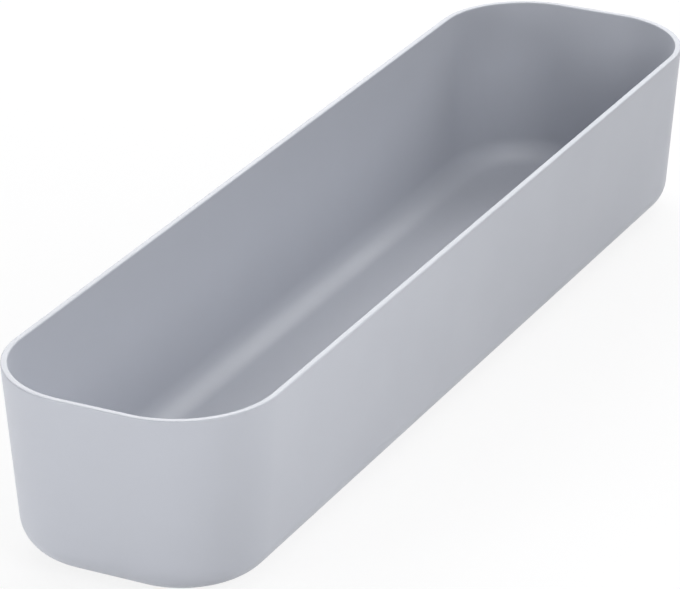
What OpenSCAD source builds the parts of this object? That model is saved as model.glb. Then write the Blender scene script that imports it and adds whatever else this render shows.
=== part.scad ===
// A long, shallow storage bin for a drawer.
// One moulded shell with leaning walls and round corners stands on four soft feet,
// which sit in round pockets under its corners and keep it from sliding.
// The length runs along X and the width along Y. The feet stand on the plane z = 0.

/* [Shell] */
// Length over the rim
bin_length = 406; // [300:1:460]
// Width over the rim
bin_width = 99.5; // [88:0.5:160]
// Height of the shell from its underside to the rim
bin_height = 68; // [45:1:100]
// Radius of the rim's corners, seen from above
corner_radius = 36.5; // [26:0.5:43]
// Lean of the walls from upright, in degrees
draft_angle = 4.5; // [1:0.25:6]
// Thickness of the walls
wall = 2.4; // [1.4:0.1:3]
// Thickness of the floor
floor_thickness = 2.4; // [1.8:0.1:4]
// Radius of the outer edge between the walls and the underside
base_radius = 12.5; // [8:0.5:16]
// Radius of the inner edge between the walls and the floor
floor_radius = 10; // [6:0.5:14]
// Radius of the rim's two edges
rim_edge_radius = 0.5; // [0.2:0.1:0.6]

/* [Feet] */
// Diameter of a foot
foot_diameter = 12; // [8:0.5:16]
// Thickness of a foot
foot_thickness = 1.8; // [1.4:0.1:3]
// Radius of a foot's lower edge
foot_edge_radius = 0.6; // [0.2:0.1:0.8]
// Depth of the pocket that a foot sits in
pocket_depth = 0.8; // [0.4:0.1:1.2]
// Gap all round between a foot and its pocket
pocket_clearance = 0.2; // [0.1:0.05:0.5]
// Distance from a pocket to the round corner of the flat underside
pocket_edge_gap = 3; // [1:0.5:8]

/* [Gate mark] */
// Diameter of the dish under the middle of the floor, where the plastic was fed in
gate_diameter = 10; // [6:0.5:16]
// Depth of the dish
gate_depth = 0.6; // [0.3:0.1:1]
// Diameter of the stub left in the dish
gate_stub_diameter = 2.4; // [1.5:0.1:4]
// Height of the stub
gate_stub_height = 0.4; // [0.1:0.1:0.8]

/* [Hidden] */
$fn = 96;

// Overlap of a cut with the air beyond the face that it starts from
cut_over = 1;
// How far a round stands proud of the faces that it joins, so that it crosses them cleanly
blend = 0.002;
shell_z = foot_thickness - pocket_depth;
straight_x = bin_length - 2 * corner_radius;
straight_y = bin_width - 2 * corner_radius;

// The wall's section lies in a plane with the corner's axis at 0 and heights from the underside
outward = [cos(draft_angle), -sin(draft_angle)];
rim_outer_centre = [corner_radius - rim_edge_radius, bin_height - rim_edge_radius];
function outer_face(z) =
    rim_outer_centre.x + rim_edge_radius / cos(draft_angle)
    - (rim_outer_centre.y - z) * tan(draft_angle);
function inner_face(z) = outer_face(z) - wall / cos(draft_angle);
rim_inner_centre = [
    inner_face(rim_outer_centre.y) + rim_edge_radius / cos(draft_angle),
    rim_outer_centre.y
];
base_centre = [outer_face(base_radius) - base_radius / cos(draft_angle), base_radius];
floor_round_z = floor_thickness + floor_radius;
floor_centre = [inner_face(floor_round_z) - floor_radius / cos(draft_angle), floor_round_z];

// A foot's pocket lies on the corner's diagonal, its gap away from the edge of the flat underside
pocket_radius = foot_diameter / 2 + pocket_clearance;
foot_reach = (base_centre.x - pocket_edge_gap - pocket_radius) * cos(45);
foot_x = straight_x / 2 + foot_reach;
foot_y = straight_y / 2 + foot_reach;

// The disc that rounds an edge of a section
module round_edge(centre, radius) {
    translate(centre)
        circle(radius + blend);
}

// Everything inside the outer face, from a corner's axis out to the rim
module outer_outline() {
    polygon([
        [0, 0],
        [base_centre.x, 0],
        base_centre + base_radius * outward,
        rim_outer_centre + rim_edge_radius * outward,
        [rim_outer_centre.x, bin_height],
        [0, bin_height]
    ]);
    round_edge(base_centre, base_radius);
    round_edge(rim_outer_centre, rim_edge_radius);
}

// The hollow, with the rim's inner edge cut back slantwise under its round
module hollow_outline() {
    polygon([
        [0, floor_thickness],
        [floor_centre.x, floor_thickness],
        floor_centre + floor_radius * outward,
        rim_inner_centre - rim_edge_radius * outward,
        [rim_inner_centre.x, bin_height],
        [rim_inner_centre.x, bin_height + cut_over],
        [0, bin_height + cut_over]
    ]);
    round_edge(floor_centre, floor_radius);
}

// Floor and wall in one section
module wall_section() {
    difference() {
        outer_outline();
        hollow_outline();
    }
    round_edge(rim_inner_centre, rim_edge_radius);
}

// The section turned through a quarter at each corner, and drawn straight along each side
module shell_body() {
    for (k = [0 : 3]) {
        end = k % 2 == 0;
        reach = end ? [straight_x, straight_y] / 2 : [straight_y, straight_x] / 2;
        rotate(90 * k) {
            translate([reach.x, reach.y, 0])
                rotate_extrude(angle = 90)
                    wall_section();
            translate([reach.x, 0, 0])
                rotate([90, 0, 0])
                    linear_extrude(height = 2 * reach.y, center = true)
                        wall_section();
        }
    }
    translate([-straight_x / 2, -straight_y / 2, 0])
        cube([straight_x, straight_y, floor_thickness]);
}

// The round dish and its stub under the middle of the floor
module gate_dish() {
    difference() {
        translate([0, 0, -cut_over])
            cylinder(d = gate_diameter, h = gate_depth + cut_over);
        translate([0, 0, gate_depth - gate_stub_height])
            cylinder(d = gate_stub_diameter, h = gate_stub_height + cut_over);
    }
}

module bin_shell() {
    color("#B9BCC4")
        translate([0, 0, shell_z])
            difference() {
                shell_body();
                for (x = [-foot_x, foot_x], y = [-foot_y, foot_y])
                    translate([x, y, -cut_over])
                        cylinder(r = pocket_radius, h = pocket_depth + cut_over);
                gate_dish();
            }
}

// A soft round pad with a rounded lower edge
module foot(x, y) {
    foot_radius = foot_diameter / 2;
    edge_centre = [foot_radius - foot_edge_radius, foot_edge_radius];
    color("#8A8D93")
        translate([x, y, 0])
            rotate_extrude() {
                polygon([
                    [0, 0],
                    [edge_centre.x, 0],
                    [foot_radius, edge_centre.y],
                    [foot_radius, foot_thickness],
                    [0, foot_thickness]
                ]);
                translate(edge_centre)
                    circle(foot_edge_radius);
            }
}

module foot_front_left() {
    foot(-foot_x, -foot_y);
}

module foot_front_right() {
    foot(foot_x, -foot_y);
}

module foot_back_right() {
    foot(foot_x, foot_y);
}

module foot_back_left() {
    foot(-foot_x, foot_y);
}

bin_shell();
foot_front_left();
foot_front_right();
foot_back_right();
foot_back_left();
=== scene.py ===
"""Looks of a long storage bin for a drawer: its moulded shell, its soft feet and a studio stage."""

import math

import bpy
from mathutils import Matrix, Vector


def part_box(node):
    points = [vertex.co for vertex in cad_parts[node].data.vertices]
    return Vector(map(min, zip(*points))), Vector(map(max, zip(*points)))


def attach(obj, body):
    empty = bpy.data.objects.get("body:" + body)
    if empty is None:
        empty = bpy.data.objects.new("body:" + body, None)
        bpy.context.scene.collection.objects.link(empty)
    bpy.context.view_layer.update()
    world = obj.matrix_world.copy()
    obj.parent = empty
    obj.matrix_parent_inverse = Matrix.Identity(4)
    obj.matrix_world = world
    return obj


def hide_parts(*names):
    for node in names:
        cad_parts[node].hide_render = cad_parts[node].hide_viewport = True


bl_info = {
    "name": "Drawer Storage Bin",
    "version": (1, 0, 0),
    "blender": (4, 5, 0),
    "location": "View3D > Sidebar > Bin",
    "description": "Builds a moulded drawer bin on soft feet and lights it on a plain stage",
    "category": "Add Mesh",
}

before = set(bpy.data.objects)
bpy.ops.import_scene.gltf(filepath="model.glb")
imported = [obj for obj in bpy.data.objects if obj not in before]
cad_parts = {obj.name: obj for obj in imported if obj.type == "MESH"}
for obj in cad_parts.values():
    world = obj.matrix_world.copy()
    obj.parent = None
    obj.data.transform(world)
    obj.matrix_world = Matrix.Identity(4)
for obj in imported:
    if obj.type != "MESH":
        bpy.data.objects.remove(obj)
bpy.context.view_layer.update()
BODY = "root"
SHELL_NODE = "bin_shell"
FOOT_NODES = ("foot_front_left", "foot_front_right", "foot_back_right", "foot_back_left")
SHELL_LOW, SHELL_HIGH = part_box(SHELL_NODE)
SHELL_SIZE = SHELL_HIGH - SHELL_LOW
FOOT_LOW, FOOT_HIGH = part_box("foot_back_right")
FOOT_SIZE = FOOT_HIGH - FOOT_LOW
FOOT_PLACE = (FOOT_HIGH + FOOT_LOW) / 2
MM = 0.001
MATH = "ShaderNodeMath"
QUARTER_TURN = math.pi / 2
WHITE = (1.0, 1.0, 1.0, 1.0)
# A Mix node's colour sockets go by number, because they share their names with its other sockets
COLOUR_A = 6
COLOUR_B = 7
COLOUR_RESULT = 2
# Nearly all values of a noise texture lie between these
NOISE_LOW = 0.3
NOISE_HIGH = 0.7

# How finely the meshes are drawn: steps round a corner seen from above, steps round an edge, sides of a disc
SHELL_CORNER_STEPS = 32
SHELL_EDGE_STEPS = 20
FOOT_CORNER_STEPS = 16
FOOT_EDGE_STEPS = 8
DISC_SIDES = 64
# Edges that turn by more than this stay sharp
CREASE_ANGLE = math.radians(30)
# Points that lie nearer to each other than this become one
MERGE_DISTANCE = 0.002 * MM
# Flat faces are held flat for this far beyond the rounds that they run into
FLAT_MARGIN = 2 * MM
# Round cuts from below start at this height, measured from the underside
CUT_START = -2 * MM
# What a rounded outline is drawn from, how many corners it has, and how many more points than steps each has
OUTLINE_SIZES = ("Length", "Width", "Corner radius", "Corner steps", "Straight margin")
OUTLINE_CORNERS = 4
POINTS_OVER_STEPS = 3


def linear(hex_colour):
    """An sRGB hex colour as linear red, green and blue."""
    channels = [int(hex_colour[i:i + 2], 16) / 255 for i in (1, 3, 5)]
    return [c / 12.92 if c <= 0.04045 else ((c + 0.055) / 1.055) ** 2.4 for c in channels]


def length(name, description, default):
    """A size in metres that a user can change."""
    return bpy.props.FloatProperty(
        name=name, description=description, default=default, min=0.0, unit="LENGTH", precision=5
    )


def angle(name, description, degrees):
    """An angle that a user can change."""
    return bpy.props.FloatProperty(
        name=name, description=description, default=math.radians(degrees), subtype="ANGLE"
    )


def factor(name, description, default):
    """A share from 0 to 1 that a user can change."""
    return bpy.props.FloatProperty(
        name=name, description=description, default=default, min=0.0, max=1.0, subtype="FACTOR"
    )


def colour(name, description, hex_colour):
    """A colour that a user can change."""
    return bpy.props.FloatVectorProperty(
        name=name, description=description, default=linear(hex_colour), size=3,
        min=0.0, max=1.0, subtype="COLOR"
    )


class BinShellSizes(bpy.types.PropertyGroup):
    """Sizes of the moulded shell."""

    length: length("Length", "Length over the rim", SHELL_SIZE.x)
    width: length("Width", "Width over the rim", SHELL_SIZE.y)
    height: length("Height", "Height from the underside to the rim", SHELL_SIZE.z)
    stand: length("Stand", "Height of the underside above the table", SHELL_LOW.z)
    corner_radius: length("Corner radius", "Radius of the rim's corners, seen from above", 36.5 * MM)
    draft: angle("Draft", "Lean of the walls from upright", 4.5)
    wall: length("Wall", "Thickness of the walls", 2.4 * MM)
    floor: length("Floor", "Thickness of the floor", 2.4 * MM)
    base_radius: length("Base radius", "Outer round between the walls and the underside", 12.5 * MM)
    floor_radius: length("Floor radius", "Inner round between the walls and the floor", 10 * MM)
    rim_radius: length("Rim radius", "Round on the rim's two edges", 0.5 * MM)
    gate_diameter: length("Gate diameter", "Dish under the floor where the plastic was fed in", 10 * MM)
    gate_depth: length("Gate depth", "Depth of that dish", 0.6 * MM)
    stub_diameter: length("Stub diameter", "Stub of plastic left in the dish", 2.4 * MM)
    stub_height: length("Stub height", "Height of that stub", 0.4 * MM)


class BinFootSizes(bpy.types.PropertyGroup):
    """Sizes of the soft feet and of the pockets that hold them."""

    diameter: length("Diameter", "Diameter of a foot", FOOT_SIZE.x)
    thickness: length("Thickness", "Thickness of a foot", FOOT_SIZE.z)
    edge_radius: length("Edge radius", "Round on a foot's lower edge", 0.6 * MM)
    top_edge_radius: length("Top edge radius", "Round on a foot's upper edge", 0.1 * MM)
    clearance: length("Clearance", "Gap round a foot in its pocket", 0.2 * MM)
    spread_x: length("Spread X", "Feet from the middle, along the length", FOOT_PLACE.x)
    spread_y: length("Spread Y", "Feet from the middle, across the width", FOOT_PLACE.y)


class BinFinish(bpy.types.PropertyGroup):
    """Colours and grain of the plastic and the feet."""

    plastic: colour("Plastic", "Cool light grey of the shell", "#BDC0C8")
    patches: colour("Flow patches", "Slightly darker clouds in the plastic", "#B8BBC3")
    patch_size: length("Patch size", "Size of the flow patches", 45 * MM)
    smoothest: factor("Smoothest", "Roughness of the plastic where it is smoothest", 0.41)
    roughest: factor("Roughest", "Roughness of the plastic where it is roughest", 0.47)
    grain_size: length("Grain size", "Grain of the moulded texture", 0.5 * MM)
    grain_depth: length("Grain depth", "Depth of the moulded texture", 0.04 * MM)
    foot: colour("Foot", "Grey of the soft feet", "#8A8D93")
    foot_dust: colour("Foot dust", "Paler bloom on the soft feet", "#94979C")
    skin_size: length("Skin size", "Grain of the feet's skin", 2 * MM)
    skin_depth: length("Skin depth", "Depth of the feet's skin", 0.05 * MM)


class BinStage(bpy.types.PropertyGroup):
    """Camera, floor and even light."""

    azimuth: angle("Azimuth", "Camera's turn about the bin", -63.152)
    elevation: angle("Elevation", "Camera's height angle", 24.509)
    roll: angle("Roll", "Camera's turn about its own axis", -0.328)
    distance: length("Distance", "Camera's distance from its aim", 1.5527)
    aim: bpy.props.FloatVectorProperty(
        name="Aim", description="Point that the camera looks at",
        default=(-0.00775, 0.00818, 0.02794), size=3, subtype="TRANSLATION"
    )
    lens: bpy.props.FloatProperty(
        name="Lens", description="Focal length on the camera's sensor", default=225.1, unit="CAMERA"
    )
    sensor: bpy.props.FloatProperty(
        name="Sensor", description="Width of the camera's sensor", default=36.0, unit="CAMERA"
    )
    floor: colour("Floor", "Pale floor", "#F4F4F5")
    floor_reach: length("Floor reach", "Distance from the middle to the floor's edges", 12.0)
    floor_gap: length("Floor gap", "Hair's breadth between the feet and the floor", 0.05 * MM)
    floor_lift: factor("Floor lift", "Share of plain white in what is seen of the floor", 0.85)
    fill: factor("Fill", "Strength of the even light from all round", 0.12)


def give(tree, socket, value):
    """Gives an input a value, a socket or a node's first output."""
    if isinstance(value, bpy.types.Node):
        value = value.outputs[0]
    if isinstance(value, bpy.types.NodeSocket):
        tree.links.new(value, socket)
    else:
        socket.default_value = value


def add(tree, kind, links=None, **settings):
    """Adds a node with its settings and what its inputs are given."""
    made = tree.nodes.new(kind)
    for key, value in settings.items():
        setattr(made, key, value)
    for key, value in (links or {}).items():
        give(tree, made.inputs[key], value)
    return made


def new_material(name):
    """An empty node material and its tree."""
    material = bpy.data.materials.new(name)
    material.use_nodes = True
    material.node_tree.nodes.clear()
    return material, material.node_tree


# Polypropylene, injection moulded against steel with a fine spark texture. The texture leaves an even matte
# skin that spreads highlights into a soft sheen, and the flowing melt leaves broad patches that are barely
# darker and duller. A real spark texture is too fine to show, so its grain is drawn about ten times as coarse
def moulded_polypropylene(finish):
    """The shell's cool light grey plastic."""
    material, tree = new_material("moulded_polypropylene")
    place = add(tree, "ShaderNodeTexCoord").outputs["Object"]
    patches = add(tree, "ShaderNodeTexNoise", {
        "Vector": place, "Scale": 1 / finish.patch_size, "Detail": 3.0, "Roughness": 0.5,
    })
    tint = add(tree, "ShaderNodeMix", {
        "Factor": patches.outputs["Fac"],
        COLOUR_A: (*finish.plastic, 1.0), COLOUR_B: (*finish.patches, 1.0),
    }, data_type="RGBA")
    grain = add(tree, "ShaderNodeTexNoise", {
        "Vector": place, "Scale": 1 / finish.grain_size, "Detail": 2.0, "Roughness": 0.6,
    })
    roughness = add(tree, "ShaderNodeMapRange", {
        "Value": patches.outputs["Fac"], "From Min": NOISE_LOW, "From Max": NOISE_HIGH,
        "To Min": finish.smoothest, "To Max": finish.roughest,
    })
    bump = add(tree, "ShaderNodeBump", {
        "Height": grain.outputs["Fac"], "Strength": 0.25, "Distance": finish.grain_depth,
    })
    surface = add(tree, "ShaderNodeBsdfPrincipled", {
        "Base Color": tint.outputs[COLOUR_RESULT], "Roughness": roughness, "Normal": bump, "IOR": 1.49,
    })
    add(tree, "ShaderNodeOutputMaterial", {"Surface": surface})
    return material


# Thermoplastic elastomer from a plain mould. It comes out dull, with a fine uneven skin, and a little bloom
# and dust make it paler in spots. The skin is drawn coarser than it is, so that it shows on so small a pad
def soft_elastomer(finish):
    """The feet's mid grey rubbery plastic."""
    material, tree = new_material("soft_elastomer")
    place = add(tree, "ShaderNodeTexCoord").outputs["Object"]
    skin = add(tree, "ShaderNodeTexNoise", {
        "Vector": place, "Scale": 1 / finish.skin_size, "Detail": 4.0,
    })
    tint = add(tree, "ShaderNodeMix", {
        "Factor": skin.outputs["Fac"],
        COLOUR_A: (*finish.foot, 1.0), COLOUR_B: (*finish.foot_dust, 1.0),
    }, data_type="RGBA")
    bump = add(tree, "ShaderNodeBump", {
        "Height": skin.outputs["Fac"], "Strength": 0.3, "Distance": finish.skin_depth,
    })
    surface = add(tree, "ShaderNodeBsdfPrincipled", {
        "Base Color": tint.outputs[COLOUR_RESULT], "Roughness": 0.8, "Normal": bump, "IOR": 1.5,
    })
    add(tree, "ShaderNodeOutputMaterial", {"Surface": surface})
    return material


def new_tree(name, sizes):
    """A geometry tree with a named input for each size. Gives the tree and its input sockets."""
    tree = bpy.data.node_groups.new(name, "GeometryNodeTree")
    for title, value in sizes.items():
        kind = "NodeSocketInt" if isinstance(value, int) else "NodeSocketFloat"
        tree.interface.new_socket(title, in_out="INPUT", socket_type=kind)
    tree.interface.new_socket("Geometry", in_out="OUTPUT", socket_type="NodeSocketGeometry")
    return tree, tree.nodes.new("NodeGroupInput").outputs


def finish_tree(tree, solid, material, lift):
    """Ends a tree: lifts the solid, smooths it between its sharp edges and gives it its material."""
    raised = add(tree, "GeometryNodeTransform", {
        "Geometry": solid, "Translation": add(tree, "ShaderNodeCombineXYZ", {"Z": lift}),
    })
    smooth = add(tree, "GeometryNodeSetShadeSmooth", {
        "Geometry": raised, "Shade Smooth": True,
    }, domain="FACE")
    edge_angle = add(tree, "GeometryNodeInputMeshEdgeAngle")
    sharp = add(tree, "FunctionNodeCompare", {
        0: edge_angle.outputs["Unsigned Angle"], 1: CREASE_ANGLE,
    }, data_type="FLOAT", operation="GREATER_THAN")
    creased = add(tree, "GeometryNodeSetShadeSmooth", {
        "Geometry": smooth, "Selection": sharp, "Shade Smooth": False,
    }, domain="EDGE")
    real = add(tree, "GeometryNodeRealizeInstances", {"Geometry": creased})
    done = add(tree, "GeometryNodeSetMaterial", {"Geometry": real, "Material": material})
    add(tree, "NodeGroupOutput", {0: done})


def mesh_from_tree(name, tree, sizes):
    """Runs a tree with its sizes and keeps the result as a plain mesh object at the origin."""
    piece = bpy.data.objects.new(name, bpy.data.meshes.new(name))
    bpy.context.scene.collection.objects.link(piece)
    modifier = piece.modifiers.new(tree.name, "NODES")
    modifier.node_group = tree
    for socket in tree.interface.items_tree:
        if socket.in_out == "INPUT":
            modifier[socket.identifier] = sizes[socket.name]
    graph = bpy.context.evaluated_depsgraph_get()
    mesh = bpy.data.meshes.new_from_object(piece.evaluated_get(graph))
    if not mesh.polygons:
        raise RuntimeError(f"{name}: the tree made no faces")
    piece.modifiers.remove(modifier)
    piece.data = mesh
    return piece


def rounded_outline():
    """A node group that gives a point on a rectangle with round corners, some way inside its outermost line.

    Each corner has its steps along the arc and one more point on the straight beyond each end of it.
    """
    tree = bpy.data.node_groups.new("rounded_outline", "GeometryNodeTree")
    for title in ("Number", "Inset", "Height", *OUTLINE_SIZES):
        tree.interface.new_socket(title, in_out="INPUT", socket_type="NodeSocketFloat")
    tree.interface.new_socket("Position", in_out="OUTPUT", socket_type="NodeSocketVector")
    given = tree.nodes.new("NodeGroupInput").outputs

    # Which corner the point belongs to, its step on the arc, and how far it lies beyond the arc's ends
    count = add(tree, MATH, {0: given["Corner steps"], 1: POINTS_OVER_STEPS}, operation="ADD")
    share = add(tree, MATH, {0: given["Number"], 1: count}, operation="DIVIDE")
    corner = add(tree, MATH, {0: share}, operation="FLOOR")
    within = add(tree, MATH, {0: given["Number"], 1: count}, operation="FLOORED_MODULO")
    step = add(tree, MATH, {0: within, 1: 1.0}, operation="SUBTRACT")
    after_start = add(tree, MATH, {0: step, 1: 0.0}, operation="MAXIMUM")
    on_arc = add(tree, MATH, {0: after_start, 1: given["Corner steps"]}, operation="MINIMUM")
    beyond = add(tree, MATH, {0: step, 1: on_arc}, operation="SUBTRACT")
    along = add(tree, MATH, {0: beyond, 1: given["Straight margin"]}, operation="MULTIPLY")

    # The way out from the corner's centre, and the place along X and Y
    part = add(tree, MATH, {0: on_arc, 1: given["Corner steps"]}, operation="DIVIDE")
    quarters = add(tree, MATH, {0: corner, 1: part}, operation="ADD")
    turn = add(tree, MATH, {0: quarters, 1: QUARTER_TURN}, operation="MULTIPLY")
    diagonal = add(tree, MATH, {0: corner, 1: QUARTER_TURN, 2: QUARTER_TURN / 2}, operation="MULTIPLY_ADD")
    radius = add(tree, MATH, {0: given["Corner radius"], 1: given["Inset"]}, operation="SUBTRACT")
    outward = {}
    place = {}
    for axis, function in (("X", "COSINE"), ("Y", "SINE")):
        outward[axis] = add(tree, MATH, {0: turn}, operation=function)
    for axis, function, size, other, way in (
        ("X", "COSINE", "Length", "Y", -1.0), ("Y", "SINE", "Width", "X", 1.0),
    ):
        side = add(tree, MATH, {0: add(tree, MATH, {0: diagonal}, operation=function)}, operation="SIGN")
        half = add(tree, MATH, {0: given[size], 1: 0.5}, operation="MULTIPLY")
        reach = add(tree, MATH, {0: half, 1: given["Corner radius"]}, operation="SUBTRACT")
        centre = add(tree, MATH, {0: side, 1: reach}, operation="MULTIPLY")
        on_round = add(tree, MATH, {0: outward[axis], 1: radius, 2: centre}, operation="MULTIPLY_ADD")
        shift = add(tree, MATH, {0: along, 1: way}, operation="MULTIPLY")
        place[axis] = add(tree, MATH, {0: outward[other], 1: shift, 2: on_round}, operation="MULTIPLY_ADD")
    point = add(tree, "ShaderNodeCombineXYZ", {**place, "Z": given["Height"]})
    add(tree, "NodeGroupOutput", {"Position": point})
    return tree


def swept_solid(tree, outline, corners, edge_steps):
    """Sweeps a rounded section round an outline and closes its two open ends with flat faces.

    The outline has a length, a width, a corner radius, corner steps and a straight margin. Each corner of
    the section has an inset, a height and a rounding, and they run from the upper end to the lower end.
    """
    number = add(tree, "GeometryNodeInputIndex")
    place = add(tree, "GeometryNodeIndexSwitch", {"Index": number}, data_type="VECTOR")
    rounding = add(tree, "GeometryNodeIndexSwitch", {"Index": number}, data_type="FLOAT")
    for i, (inset, height, radius) in enumerate(corners):
        if i > 1:
            place.index_switch_items.new()
            rounding.index_switch_items.new()
        give(tree, place.inputs[i + 1], add(tree, "ShaderNodeCombineXYZ", {"X": inset, "Y": height}))
        give(tree, rounding.inputs[i + 1], radius)
    line = add(tree, "GeometryNodeResampleCurve", {
        "Curve": add(tree, "GeometryNodeCurvePrimitiveLine"), "Count": len(corners),
    })
    section = add(tree, "GeometryNodeFilletCurve", {
        "Curve": add(tree, "GeometryNodeSetPosition", {"Geometry": line, "Position": place}),
        "Count": edge_steps, "Radius": rounding,
    }, mode="POLY")
    points = add(tree, MATH, {
        0: outline["Corner steps"], 1: OUTLINE_CORNERS, 2: OUTLINE_CORNERS * POINTS_OVER_STEPS,
    }, operation="MULTIPLY_ADD")
    ring = add(tree, "GeometryNodeCurvePrimitiveCircle", {"Resolution": points})

    # The sweep keeps each point's number on the ring and place in the section, and then takes its true place
    kept_ring = add(tree, "GeometryNodeCaptureAttribute", {"Geometry": ring})
    kept_ring.capture_items.new("FLOAT", "Number")
    give(tree, kept_ring.inputs["Number"], number)
    kept_section = add(tree, "GeometryNodeCaptureAttribute", {"Geometry": section})
    kept_section.capture_items.new("VECTOR", "Place")
    give(tree, kept_section.inputs["Place"], add(tree, "GeometryNodeInputPosition"))
    sweep = add(tree, "GeometryNodeCurveToMesh", {"Curve": kept_ring, "Profile Curve": kept_section})
    in_section = add(tree, "ShaderNodeSeparateXYZ", {0: kept_section.outputs["Place"]})
    wanted = [(sweep, kept_ring.outputs["Number"], in_section.outputs["X"], in_section.outputs["Y"])]
    for inset, height, _ in (corners[0], corners[-1]):
        face = add(tree, "GeometryNodeMeshCircle", {"Vertices": points}, fill_type="NGON")
        wanted.append((face, number, inset, height))
    group = bpy.data.node_groups.get("rounded_outline") or rounded_outline()
    parts = []
    for mesh, count, inset, height in wanted:
        spot = add(tree, "GeometryNodeGroup", {
            "Number": count, "Inset": inset, "Height": height, **outline,
        }, node_tree=group)
        parts.append(add(tree, "GeometryNodeSetPosition", {"Geometry": mesh, "Position": spot}))

    # The lower end's face looks down
    parts[2] = add(tree, "GeometryNodeFlipFaces", {"Mesh": parts[2]})
    joined = add(tree, "GeometryNodeJoinGeometry")
    for part in parts:
        give(tree, joined.inputs[0], part)
    return add(tree, "GeometryNodeMergeByDistance", {"Geometry": joined, "Distance": MERGE_DISTANCE})


def shell_tree(material, sizes):
    """The shell: a wall section swept round a rectangle with round corners, less pockets and gate dish."""
    tree, given = new_tree("moulded_shell", sizes)

    # The section's corners before they are rounded, measured inwards from the rim's outer edge.
    # Corners with no rounding hold the flat faces flat just beyond the rounds
    slope = add(tree, MATH, {0: given["Draft"]}, operation="TANGENT")
    lean = add(tree, MATH, {0: given["Draft"]}, operation="COSINE")
    inner = add(tree, MATH, {0: given["Wall"], 1: lean}, operation="DIVIDE")
    floor_run = add(tree, MATH, {0: given["Floor radius"], 1: given["Flat margin"]}, operation="ADD")
    floor_end = add(tree, MATH, {0: inner, 1: floor_run}, operation="ADD")
    base_end = add(tree, MATH, {0: given["Base radius"], 1: given["Flat margin"]}, operation="ADD")
    floor_top = add(tree, MATH, {0: given["Floor"], 1: given["Floor radius"]}, operation="ADD")
    rim_foot = add(tree, MATH, {
        0: given["Rim radius"], 1: -2.0, 2: given["Height"],
    }, operation="MULTIPLY_ADD")
    corners = []
    for start, height, rounding in (
        (floor_end, given["Floor"], 0.0),
        (inner, given["Floor"], given["Floor radius"]),
        (inner, floor_top, 0.0),
        (inner, rim_foot, 0.0),
        (inner, given["Height"], given["Rim radius"]),
        (0.0, given["Height"], given["Rim radius"]),
        (0.0, rim_foot, 0.0),
        (0.0, given["Base radius"], 0.0),
        (0.0, 0.0, given["Base radius"]),
        (base_end, 0.0, 0.0),
    ):
        drop = add(tree, MATH, {0: given["Height"], 1: height}, operation="SUBTRACT")
        inset = add(tree, MATH, {0: drop, 1: slope, 2: start}, operation="MULTIPLY_ADD")
        corners.append((inset, height, rounding))
    outline = {key: given[key] for key in OUTLINE_SIZES}
    walls = swept_solid(tree, outline, corners, given["Edge steps"])

    # Round cuts from below: a pocket for each foot, and the gate dish round its stub
    stub_low = add(tree, MATH, {0: given["Gate depth"], 1: given["Stub height"]}, operation="SUBTRACT")
    cuts = {}
    for name, low, high in (
        ("Pocket", CUT_START, given["Pocket depth"]),
        ("Gate", CUT_START, given["Gate depth"]),
        ("Stub", stub_low, given["Floor"]),
    ):
        radius = add(tree, MATH, {0: given[name + " diameter"], 1: 0.5}, operation="MULTIPLY")
        depth = add(tree, MATH, {0: high, 1: low}, operation="SUBTRACT")
        middle = add(tree, MATH, {0: depth, 1: 0.5, 2: low}, operation="MULTIPLY_ADD")
        disc = add(tree, "GeometryNodeMeshCylinder", {
            "Vertices": DISC_SIDES, "Radius": radius, "Depth": depth,
        })
        spot = add(tree, "ShaderNodeCombineXYZ", {"Z": middle})
        cuts[name] = add(tree, "GeometryNodeTransform", {"Geometry": disc, "Translation": spot})
    pockets = at_four_corners(tree, cuts["Pocket"], given["Foot spread X"], given["Foot spread Y"])
    gate = add(tree, "GeometryNodeMeshBoolean", {
        "Mesh 1": cuts["Gate"], "Mesh 2": cuts["Stub"],
    }, operation="DIFFERENCE", solver="EXACT")
    shell = add(tree, "GeometryNodeMeshBoolean", {
        "Mesh 1": walls, "Mesh 2": pockets,
    }, operation="DIFFERENCE", solver="EXACT")
    give(tree, shell.inputs["Mesh 2"], gate)
    finish_tree(tree, shell, material, given["Stand"])
    return tree


def at_four_corners(tree, piece, spread_x, spread_y):
    """Sets a copy of a piece at each corner of a rectangle."""
    size_x = add(tree, MATH, {0: spread_x, 1: 2.0}, operation="MULTIPLY")
    size_y = add(tree, MATH, {0: spread_y, 1: 2.0}, operation="MULTIPLY")
    grid = add(tree, "GeometryNodeMeshGrid", {
        "Size X": size_x, "Size Y": size_y, "Vertices X": 2, "Vertices Y": 2,
    })
    copies = add(tree, "GeometryNodeInstanceOnPoints", {"Points": grid, "Instance": piece})
    return add(tree, "GeometryNodeRealizeInstances", {"Geometry": copies})


def feet_tree(material, sizes):
    """The feet: a round pad with a rounded lower edge, set at the four corners of a rectangle."""
    tree, given = new_tree("soft_feet", sizes)
    radius = add(tree, MATH, {0: given["Diameter"], 1: 0.5}, operation="MULTIPLY")
    middle = add(tree, MATH, {0: radius, 1: 0.5}, operation="MULTIPLY")
    outline = {
        "Length": given["Diameter"], "Width": given["Diameter"], "Corner radius": radius,
        "Corner steps": given["Corner steps"],
    }
    pad = swept_solid(tree, outline, (
        (middle, given["Thickness"], 0.0),
        (0.0, given["Thickness"], given["Top edge radius"]),
        (0.0, 0.0, given["Edge radius"]),
        (middle, 0.0, 0.0),
    ), given["Edge steps"])
    feet = at_four_corners(tree, pad, given["Spread X"], given["Spread Y"])
    finish_tree(tree, feet, material, 0.0)
    return tree


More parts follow.
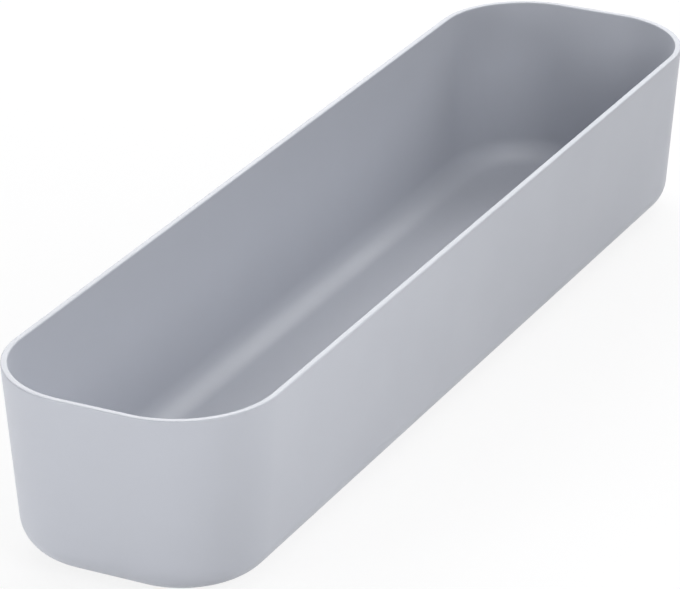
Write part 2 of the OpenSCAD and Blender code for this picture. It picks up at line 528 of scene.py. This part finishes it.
class BIN_OT_moulded_shell(bpy.types.Operator):
    """Make the moulded shell with its walls, floor, rim, foot pockets and gate dish"""

    bl_idname = "bin.moulded_shell"
    bl_label = "Moulded Shell"

    def execute(self, context):
        shell = context.scene.bin_shell_sizes
        foot = context.scene.bin_foot_sizes
        # A rounded rim edge stays inside its sharp corner, so the sharp outline is drawn larger by this much
        lost = shell.rim_radius * (1 / math.cos(shell.draft) - 1 + math.tan(shell.draft))
        sizes = {
            "Length": shell.length + 2 * lost,
            "Width": shell.width + 2 * lost,
            "Height": shell.height,
            "Corner radius": shell.corner_radius + lost,
            "Draft": shell.draft,
            "Wall": shell.wall,
            "Floor": shell.floor,
            "Base radius": shell.base_radius,
            "Floor radius": shell.floor_radius,
            "Rim radius": shell.rim_radius,
            "Flat margin": FLAT_MARGIN,
            "Straight margin": FLAT_MARGIN,
            "Corner steps": SHELL_CORNER_STEPS,
            "Edge steps": SHELL_EDGE_STEPS,
            "Foot spread X": foot.spread_x,
            "Foot spread Y": foot.spread_y,
            "Pocket diameter": foot.diameter + 2 * foot.clearance,
            "Pocket depth": foot.thickness - shell.stand,
            "Gate diameter": shell.gate_diameter,
            "Gate depth": shell.gate_depth,
            "Stub diameter": shell.stub_diameter,
            "Stub height": shell.stub_height,
            "Stand": shell.stand,
        }
        material = moulded_polypropylene(context.scene.bin_finish)
        piece = mesh_from_tree("moulded_shell", shell_tree(material, sizes), sizes)
        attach(piece, BODY)
        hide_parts(SHELL_NODE)
        return {"FINISHED"}


class BIN_OT_soft_feet(bpy.types.Operator):
    """Make the four soft feet in their pockets"""

    bl_idname = "bin.soft_feet"
    bl_label = "Soft Feet"

    def execute(self, context):
        foot = context.scene.bin_foot_sizes
        sizes = {
            "Diameter": foot.diameter,
            "Thickness": foot.thickness,
            "Edge radius": foot.edge_radius,
            "Top edge radius": foot.top_edge_radius,
            "Spread X": foot.spread_x,
            "Spread Y": foot.spread_y,
            "Corner steps": FOOT_CORNER_STEPS,
            "Edge steps": FOOT_EDGE_STEPS,
        }
        material = soft_elastomer(context.scene.bin_finish)
        piece = mesh_from_tree("soft_feet", feet_tree(material, sizes), sizes)
        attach(piece, BODY)
        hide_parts(*FOOT_NODES)
        return {"FINISHED"}


def seen_directly(tree):
    """A socket that is 1 for rays by which the camera, a glossy face or glass sees the stage."""
    path = add(tree, "ShaderNodeLightPath")
    either = add(tree, MATH, {
        0: path.outputs["Is Camera Ray"], 1: path.outputs["Is Glossy Ray"],
    }, operation="MAXIMUM")
    return add(tree, MATH, {0: either, 1: path.outputs["Is Transmission Ray"]}, operation="MAXIMUM")


# Matte white card, pressed from fibres that scatter light evenly, so it has no gloss.
# Part of what is seen of it is plain white, so that the bin's shadow on it stays faint
def white_paper(stage):
    """The floor's card."""
    material, tree = new_material("white_paper")
    card = add(tree, "ShaderNodeBsdfDiffuse", {"Color": (*stage.floor, 1.0)})
    white = add(tree, "ShaderNodeEmission", {"Color": WHITE, "Strength": 1.0})
    share = add(tree, MATH, {0: seen_directly(tree), 1: stage.floor_lift}, operation="MULTIPLY")
    mixed = add(tree, "ShaderNodeMixShader", {0: share, 1: card, 2: white})
    add(tree, "ShaderNodeOutputMaterial", {"Surface": mixed})
    return material


def even_world(stage):
    """Even white surroundings: a low fill on the object, and plain white wherever they are seen."""
    world = bpy.data.worlds.new("studio")
    world.use_nodes = True
    tree = world.node_tree
    tree.nodes.clear()
    strength = add(tree, "ShaderNodeMix", {
        "Factor": seen_directly(tree), "A": stage.fill, "B": 1.0,
    }, data_type="FLOAT")
    light = add(tree, "ShaderNodeBackground", {"Color": WHITE, "Strength": strength})
    add(tree, "ShaderNodeOutputWorld", {"Surface": light})
    return world


# Soft square lamps, all pointed at the bin: name, place, width in metres and power in watts
LAMP_AIM = (0.0, 0.0, 0.03)
LAMPS = (
    ("back_panel", (0.6, 0.7, 0.8), 1.0, 9.6),
    ("far_panel", (1.3, 0.65, 0.75), 1.0, 3.0),
    ("far_lamp", (1.0, 0.0, 0.6), 0.6, 2.9),
    ("side_lamp", (-0.3, -0.4, 0.3), 0.25, 1.2),
    ("right_lamp", (0.7, -0.35, 0.35), 0.3, 0.85),
    ("left_strip", (-0.72, 0.3, 0.12), 0.22, 2.0),
    ("top_lamp", (0.1, -0.15, 0.7), 0.4, 1.2),
)


class BIN_OT_stage(bpy.types.Operator):
    """Set up the floor, the surroundings, the lamps and the camera"""

    bl_idname = "bin.stage"
    bl_label = "Stage"

    def execute(self, context):
        scene = context.scene
        stage = scene.bin_stage
        scene.view_settings.view_transform = "Standard"
        scene.world = even_world(stage)

        mesh = bpy.data.meshes.new("stage_floor")
        ends = (-stage.floor_reach, stage.floor_reach)
        corners = [(x, y, -stage.floor_gap) for y in ends for x in ends]
        mesh.from_pydata(corners, [], [(0, 1, 3, 2)])
        mesh.materials.append(white_paper(stage))
        floor = bpy.data.objects.new("stage_floor", mesh)
        scene.collection.objects.link(floor)

        for name, place, width, power in LAMPS:
            data = bpy.data.lights.new(name, "AREA")
            data.shape = "SQUARE"
            data.size = width
            data.energy = power
            lamp = bpy.data.objects.new(name, data)
            lamp.location = place
            lamp.rotation_euler = (Vector(LAMP_AIM) - lamp.location).to_track_quat("-Z", "Y").to_euler()
            lamp.visible_camera = False
            scene.collection.objects.link(lamp)

        # The way from the aim back to the camera, which the roll turns the camera about
        back = Vector((
            math.sin(stage.azimuth) * math.cos(stage.elevation),
            -math.cos(stage.azimuth) * math.cos(stage.elevation),
            math.sin(stage.elevation),
        ))
        level = Vector((0, 0, 1)).cross(back).normalized()
        right = level * math.cos(stage.roll) + back.cross(level) * math.sin(stage.roll)
        turn = Matrix((right, back.cross(right), back)).transposed().to_4x4()
        data = bpy.data.cameras.new("camera")
        data.sensor_width = stage.sensor
        data.lens = stage.lens
        camera = bpy.data.objects.new("camera", data)
        camera.matrix_world = Matrix.Translation(Vector(stage.aim) + back * stage.distance) @ turn
        scene.collection.objects.link(camera)
        scene.camera = camera
        return {"FINISHED"}


class BIN_PT_panel(bpy.types.Panel):
    """Lists the bin's sizes and the steps that build it"""

    bl_idname = "BIN_PT_panel"
    bl_label = "Drawer Storage Bin"
    bl_space_type = "VIEW_3D"
    bl_region_type = "UI"
    bl_category = "Bin"

    def draw(self, context):
        layout = self.layout
        for step in STEPS:
            layout.operator(step.bl_idname)
        for name, group in GROUPS.items():
            box = layout.box()
            box.label(text=group.__doc__)
            for key in group.__annotations__:
                box.prop(getattr(context.scene, name), key)


GROUPS = {
    "bin_shell_sizes": BinShellSizes,
    "bin_foot_sizes": BinFootSizes,
    "bin_finish": BinFinish,
    "bin_stage": BinStage,
}
STEPS = (BIN_OT_moulded_shell, BIN_OT_soft_feet, BIN_OT_stage)


def register():
    """Adds the settings to the scene, and the steps and the panel."""
    for name, group in GROUPS.items():
        bpy.utils.register_class(group)
        setattr(bpy.types.Scene, name, bpy.props.PointerProperty(type=group))
    for step in STEPS:
        bpy.utils.register_class(step)
    bpy.utils.register_class(BIN_PT_panel)


def unregister():
    """Takes them away again."""
    bpy.utils.unregister_class(BIN_PT_panel)
    for step in reversed(STEPS):
        bpy.utils.unregister_class(step)
    for name, group in reversed(GROUPS.items()):
        delattr(bpy.types.Scene, name)
        bpy.utils.unregister_class(group)


def main():
    """Builds the bin on its stage."""
    register()
    bpy.ops.bin.moulded_shell()
    bpy.ops.bin.soft_feet()
    bpy.ops.bin.stage()


if __name__ == "__main__":
    main()
